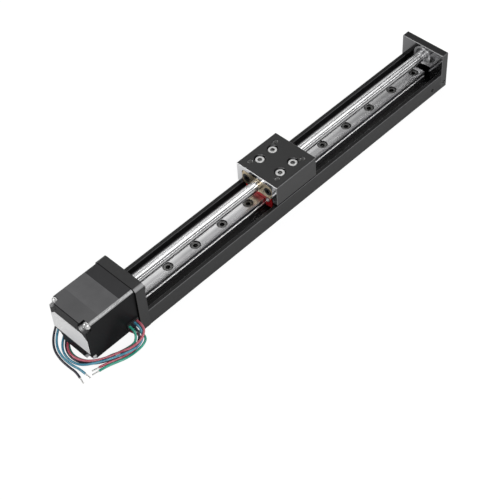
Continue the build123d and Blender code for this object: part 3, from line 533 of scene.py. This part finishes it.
# Threads in the four corner holes of the block: cut M3 threads, bare where the tap broke the
# anodising, so they glint inside the dark holes.
tapped = plated("tapped_aluminium", (0.3, 0.3, 0.3), (0.62, 0.62, 0.61), 0.22)
block_low, block_high = (np.array(corner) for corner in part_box("table_block"))
block_middle = (block_low[0] + block_high[0]) / 2
block_top = np.array((block_middle, 0.0, block_high[2]))
hole_reach = 10.0
hole_chamfer = 0.35
hole_pitch = 0.5
hole_section = [(-0.22, 1.53), (-0.05, 1.26), (0.05, 1.26), (0.22, 1.53)]
drop, radius, angle = thread_ridge(hole_section, hole_pitch, turns=8.6, facets=28)
holes = []
for x in (-hole_reach, hole_reach):
    for y in (-hole_reach, hole_reach):
        along, across = x + radius * np.cos(-angle), y + radius * np.sin(-angle)
        holes.append(np.stack([along, across, -hole_chamfer - drop], axis=-1) / 1000 + block_top)
corner_threads = shell("corner_threads", holes, tapped)
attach(corner_threads, "carriage")


# Lead nut: turned from brass, with a round flange milled flat above and below. Two blackened
# countersunk screws hold it in the block's pocket.
screw_axis = (0.0, 0.0, 18.0)
lathe_feed = 26.0


def turned_brass():
    """Brass with rings round the screw's axis from the lathe, and a little tarnish."""
    skin = finish("turned_brass")
    place = skin.place()
    away = skin.vector("SUBTRACT", {0: place, 1: screw_axis})
    flat = skin.vector("MULTIPLY", {0: away, 1: (0.0, 1.0, 1.0)})
    reach = skin.vector("LENGTH", {0: flat}, "Value")
    ring = reach.math("SINE", reach * lathe_feed, 0.0)
    cloud = skin.noise(place, 0.5, 4.0)
    tarnish = skin.steps(cloud, (0.35, 0.0), (0.7, 1.0))
    shade = skin.mixed(tarnish, (0.93, 0.82, 0.62), (0.7, 0.55, 0.34))
    return skin.coat(
        Base_Color=shade, Metallic=1.0, Roughness=0.2 + 0.2 * cloud,
        Normal=skin.bump(ring, 0.01, 0.5),
    )


dress(turned_brass(), "lead_nut")
blackened = plated("blackened_steel", (0.03, 0.03, 0.032), (0.09, 0.09, 0.092), 0.26)
dress(blackened, "nut_screws")


# Lead screw: one steel bar, thread rolled between the plates with a 1 mm pitch, right-hand, and
# ground journals at both ends. The motor's rotor sits on the rear journal, and the ridge is kept
# low, so that the bar looks as smooth as it does from afar.
def rolled_steel():
    """Rolled steel: bright, with lines along the bar and slightly duller patches."""
    skin = finish("rolled_screw")
    line = skin.noise(skin.place(0.05, 3.0, 3.0), 1.0, 3.0)
    patch = skin.noise(skin.place(1.0, 1.0, 1.0), 0.12, 3.0)
    shade = skin.mixed(0.5 * line + 0.5 * patch, (0.62, 0.62, 0.63), (0.86, 0.86, 0.86))
    return skin.coat(
        Base_Color=shade, Metallic=1.0, Roughness=0.13 + 0.12 * patch,
        Normal=skin.bump(line, 0.004, 0.5),
    )


def turned_bar(profile, facets):
    """A bar round the X axis: each (along, radius) point of the profile carried round a circle."""
    along, reach = (np.array(profile)[:, column][:, None] for column in (0, 1))
    angle = np.linspace(0, 2 * math.pi, facets, endpoint=False)[None, :]
    return np.stack([along + 0 * angle, reach * np.cos(angle), reach * np.sin(angle)], axis=-1)


screw_low, screw_high = (np.array(corner) * 1000 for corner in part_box("lead_screw"))
axis_height = (screw_low[2] + screw_high[2]) / 2
thread_start = -121.0
thread_end = 117.2
thread_margin = 0.45
screw_pitch = 1.0
core_radius = 2.82
rear_radius = 2.47
far_radius = 1.97
end_chamfer = 0.3
bar_profile = [
    (screw_low[0], 0.0), (screw_low[0], rear_radius - end_chamfer),
    (screw_low[0] + end_chamfer, rear_radius), (thread_start, rear_radius),
    (thread_start, core_radius), (thread_end, core_radius), (thread_end, far_radius),
    (screw_high[0] - end_chamfer, far_radius), (screw_high[0], far_radius - end_chamfer),
    (screw_high[0], 0.0),
]
screw_section = [(-0.32, 2.79), (-0.27, 2.97), (0.27, 2.97), (0.32, 2.79)]
thread_turns = (thread_end - thread_start - 2 * thread_margin) / screw_pitch
along, radius, angle = thread_ridge(screw_section, screw_pitch, thread_turns, facets=32)
along = thread_start + thread_margin + along
ridge = np.stack([along, radius * np.cos(angle), radius * np.sin(angle)], axis=-1)
centre = np.array((0.0, 0.0, axis_height))
screw_grids = [(grid + centre) / 1000 for grid in (turned_bar(bar_profile, 48), ridge)]
threaded_screw = shell("threaded_screw", screw_grids, rolled_steel(), smooth_below=50)
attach(threaded_screw, "screw")
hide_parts("lead_screw")


# End plate: milled aluminium, anodised black, with the far bearing pressed in. Two blackened
# screws below hold it to the channel, and its smooth face mirrors the rail.
# Its top edge towards the motor has a painted highlight, and its top a painted shade.
plate_skin = anodised(
    "anodised_plates", (0.009, 0.009, 0.0095), (0.024, 0.024, 0.025), (0.6, 0.6, 2.2), rough=0.32,
    edge=rubbed_black, shine=0.55, top_shade_share=0.4, mirror=(0.24, 0.24, 0.245),
)
dress(plate_skin, "end_plate")
dress(blackened, "end_plate_screws", "motor_plate_screws", "motor_mount_screws")


# Bearings: deep groove ball bearings with ground rings, balls and thin pressed shields. One sits
# in the end plate and two in the motor, with a wave washer behind the rear one.
ring_steel = ground_steel(
    "bearing_rings", (0.74, 0.74, 0.75), (0.94, 0.94, 0.94), (3.0, 0.4, 0.4), 0.3
)
pressed = plated("pressed_shields", (0.34, 0.34, 0.35), (0.52, 0.52, 0.53), 0.24)
for bearing in ("end_bearing", "front_bearing", "rear_bearing"):
    dress(ring_steel, bearing + "_outer_ring", bearing + "_inner_ring")
    dress(polished, bearing + "_balls")
    dress(pressed, bearing + "_shields")
dress(pressed, "wave_washer")


# Motor plate: milled aluminium, anodised black, with rounded upper corners, the right one with a
# painted highlight in bare grey. It takes the motor's pilot in its bore.
motor_plate_skin = anodised(
    "anodised_motor_plate", (0.016, 0.016, 0.0165), (0.034, 0.034, 0.035), (0.6, 0.6, 2.2),
    rough=0.32, edge=rubbed_black, shine=0.38, top_shade_share=0.0, mirror=(0.02, 0.02, 0.02), highlight_axis=1,
)
dress(motor_plate_skin, "motor_plate")


# Motor body: two die cast bells painted black, with a stack of steel sheets between them. The
# edges of the sheets show as fine lines round the middle length. The top carries a painted light,
# and the upper right edge a painted highlight.
no_joint = 1000.0
joint_width = 0.5
joint_dark = (0.003, 0.003, 0.003)
edge_highlight_colour = (0.75, 0.75, 0.755)
sheet_thickness = 0.5


def painted_casting(name, top_light_shade, joint=no_joint):
    """Black paint over a casting: soft orange peel, a painted highlight on the upper right edge and
    a painted light on what faces up.
    Beyond a joint, in millimetres along the slide, the rim falls away and is dark."""
    skin = finish(name)
    peel = skin.noise(skin.place(), 1.3, 3.0)
    dust = skin.noise(skin.place(), 9.0, 2.0)
    cloud = skin.noise(skin.place(), 0.08, 3.0)
    shade = skin.mixed(0.6 * cloud + 0.4 * peel, (0.007, 0.007, 0.008), (0.016, 0.016, 0.017))
    # Painted light: faces that look up are lifted towards a grey.
    shade = skin.mixed(facing_up(skin) * (0.7 + 0.3 * cloud), shade, top_light_shade)
    # Painted highlight along the upper right edge, given bare metal's gloss.
    wear_and_highlight = upper_edge(skin, 1) * (0.4 + peel)
    shade = skin.mixed(wear_and_highlight, shade, edge_highlight_colour)
    along = skin.part(skin.place(), 0)
    shade = skin.mixed(along.math("GREATER_THAN", along, joint), shade, joint_dark)
    soft = skin.bump(peel, 0.03, 0.35)
    return skin.coat(
        Base_Color=shade, Roughness=0.26 + 0.12 * cloud + 0.08 * dust, Metallic=wear_and_highlight,
        Normal=skin.bump(dust, 0.01, 0.25, soft), Specular_IOR_Level=0.08,
    )


def stacked_sheets():
    """Painted edges of thin sheets: a fine ripple along X, uneven from sheet to sheet."""
    skin = finish("stacked_sheets")
    place = skin.place()
    along = skin.part(place, 0)
    ripple = along.math("SINE", along * (2 * math.pi / sheet_thickness), 0.0)
    uneven = skin.noise(skin.place(2.0, 0.02, 0.02), 1.0, 2.0)
    patch = skin.noise(place, 0.1, 4.0)
    shade = skin.mixed(0.6 * uneven + 0.4 * patch, (0.007, 0.007, 0.008), (0.014, 0.014, 0.015))
    # Painted light: faces that look up are lifted towards grey.
    shade = skin.mixed(facing_up(skin) * (0.6 + 0.4 * patch), shade, (0.172, 0.172, 0.176))
    # Painted highlight along the upper right edge, given bare metal's gloss.
    wear_and_highlight = upper_edge(skin, 1) * (0.4 + patch)
    shade = skin.mixed(wear_and_highlight, shade, edge_highlight_colour)
    return skin.coat(
        Base_Color=shade, Roughness=0.24 + 0.14 * patch, Metallic=wear_and_highlight,
        Normal=skin.bump(ripple, 0.01, 0.25), Specular_IOR_Level=0.08,
    )


plate_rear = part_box("motor_plate")[0][0] * 1000
# The painted light on the tops is dimmer over the front bell than over the rear bell.
front_paint = painted_casting("painted_front", (0.055, 0.055, 0.057), plate_rear - joint_width)
rear_paint = painted_casting("painted_rear", (0.145, 0.145, 0.148))
dress(front_paint, "motor_front_bell")
dress(rear_paint, "motor_rear_bell")
dress(stacked_sheets(), "stator_core")


# Motor bolts: zinc plated pan head screws in the notches of the rear bell. The upper two end in
# the front bell, and the lower two reach through it into the motor plate.
dress(bright_plate, "motor_short_bolts", "motor_long_bolts")


# Inside the motor: coils of enamelled copper wire wound on the stator's poles. On the shaft sit
# two toothed iron cups with a sintered ring magnet pressed between them.
def wound_copper():
    """Enamelled wire laid side by side: a ripple the width of one wire round each coil."""
    skin = finish("wound_copper")
    place = skin.place()
    ripple = skin.ripple(place, 1.1)
    patch = skin.noise(place, 0.7, 3.0)
    shade = skin.mixed(patch, (0.56, 0.2, 0.07), (0.78, 0.36, 0.16))
    return skin.coat(
        Base_Color=shade, Metallic=0.85, Roughness=0.25 + 0.15 * patch,
        Normal=skin.bump(ripple, 0.08),
    )


rotor_iron = ground_steel(
    "rotor_iron", (0.25, 0.25, 0.26), (0.45, 0.45, 0.46), (2.0, 0.3, 0.3), 0.25
)
magnet = plated("sintered_magnet", (0.12, 0.12, 0.125), (0.22, 0.22, 0.225), 0.4)
dress(wound_copper(), "stator_coils")
dress(rotor_iron, "rotor_rear_cup", "rotor_front_cup")
dress(magnet, "rotor_magnet")


# Rear label: a thin plate of satin aluminium foil, stuck to the motor's rear face. It carries no
# print.
def satin_foil():
    """Rolled foil: fine lines across it, a soft cloud and shallow waves from the press."""
    skin = finish("satin_foil")
    line = skin.noise(skin.place(1.0, 0.05, 5.0), 1.0, 3.0)
    wave = skin.noise(skin.place(), 0.16, 2.0)
    shade = skin.mixed(0.5 * line + 0.5 * wave, (0.9, 0.9, 0.905), (0.97, 0.97, 0.97))
    return skin.coat(
        Base_Color=shade, Metallic=0.15, Roughness=0.34 + 0.12 * wave,
        Normal=skin.bump(wave, 0.1, 0.4),
    )


dress(satin_foil(), "rear_label")


# Lead outlet: a block of moulded black plastic that sits in the opening in the front bell's
# right side. The four leads pass through it.
dress(moulded("outlet_block", (0.014, 0.014, 0.015), (0.03, 0.03, 0.032)), "lead_outlet")


# Floor: a plain pale surface, seen as near white by the camera and in reflections, that keeps
# the slide's shadow.
def pale_floor():
    """A pale matt floor whose directly seen light is lifted towards white, and its mirror image
    a little."""
    skin = finish("pale_floor")
    grain = skin.noise(skin.place(), 0.02, 2.0)
    shade = skin.mixed(grain, (0.84, 0.84, 0.84), (0.88, 0.88, 0.88))
    matt = skin.node("ShaderNodeBsdfPrincipled", {}, {"Base Color": shade, "Roughness": 0.9})
    light = skin.node("ShaderNodeEmission", {}, {"Color": (1.0, 1.0, 1.0), "Strength": 1.16})
    rays = ("Is Camera Ray", "Is Glossy Ray", "Is Transmission Ray")
    seen, mirrored, through = (skin.node("ShaderNodeLightPath", {}, {}, ray) for ray in rays)
    share = 0.78 * seen.math("MAXIMUM", seen, through) + 0.18 * mirrored
    both = skin.node("ShaderNodeMixShader", {}, {0: share, 1: matt, 2: light})
    skin.node("ShaderNodeOutputMaterial", {}, {"Surface": both})
    return skin.owner


floor_reach = 1.5
floor_sides = ((-1, -1), (1, -1), (1, 1), (-1, 1))
floor_corners = [(x * floor_reach, y * floor_reach, 0) for x, y in floor_sides]
floor_mesh = bpy.data.meshes.new("floor")
floor_mesh.from_pydata(floor_corners, [], [(0, 1, 2, 3)])
floor_mesh.materials.append(pale_floor())
floor = bpy.data.objects.new("floor", floor_mesh)
bpy.context.scene.collection.objects.link(floor)


# Studio light: large soft panels behind, above, to the right and in front, and an even pale world.
slide_middle = (0.0, 0.0, 0.0)
panels = {
    "panel_behind": ((0.5, 0.82, 1.2), (-0.03, 0.0, 0.0), 0.75, 0.7, 1.2),
    "panel_low": ((0.66, 1.25, 0.5), slide_middle, 1.2, 0.35, 2.4),
    "panel_top": ((0.62, -0.06, 1.3), slide_middle, 0.8, 0.65, 3.6),
    "panel_edges": ((0.66, -1.12, 0.74), slide_middle, 1.0, 0.12, 1.6),
    "panel_front": ((-1.1, 0.73, 0.66), slide_middle, 0.9, 0.3, 5.2),
    "panel_right": ((-0.5, -1.2, 1.0), slide_middle, 0.8, 0.6, 9.0),
}


def panel(name, place, aim, width, height, watts):
    """A soft rectangular lamp that faces a point of the slide."""
    lamp = bpy.data.lights.new(name, "AREA")
    lamp.shape = "RECTANGLE"
    lamp.size = width
    lamp.size_y = height
    lamp.energy = watts
    made = bpy.data.objects.new(name, lamp)
    turn = (Vector(place) - Vector(aim)).to_track_quat("Z", "Y")
    made.matrix_world = Matrix.Translation(place) @ turn.to_matrix().to_4x4()
    bpy.context.scene.collection.objects.link(made)


for name, setup in panels.items():
    panel(name, *setup)

world = bpy.data.worlds.new("studio")
bpy.context.scene.world = world
sky = Finish(world)
sky_light = sky.node("ShaderNodeBackground", {}, {"Color": (1.0, 1.0, 1.0), "Strength": 0.2})
sky.node("ShaderNodeOutputWorld", {}, {"Surface": sky_light})

bpy.context.scene.view_settings.view_transform = "Standard"
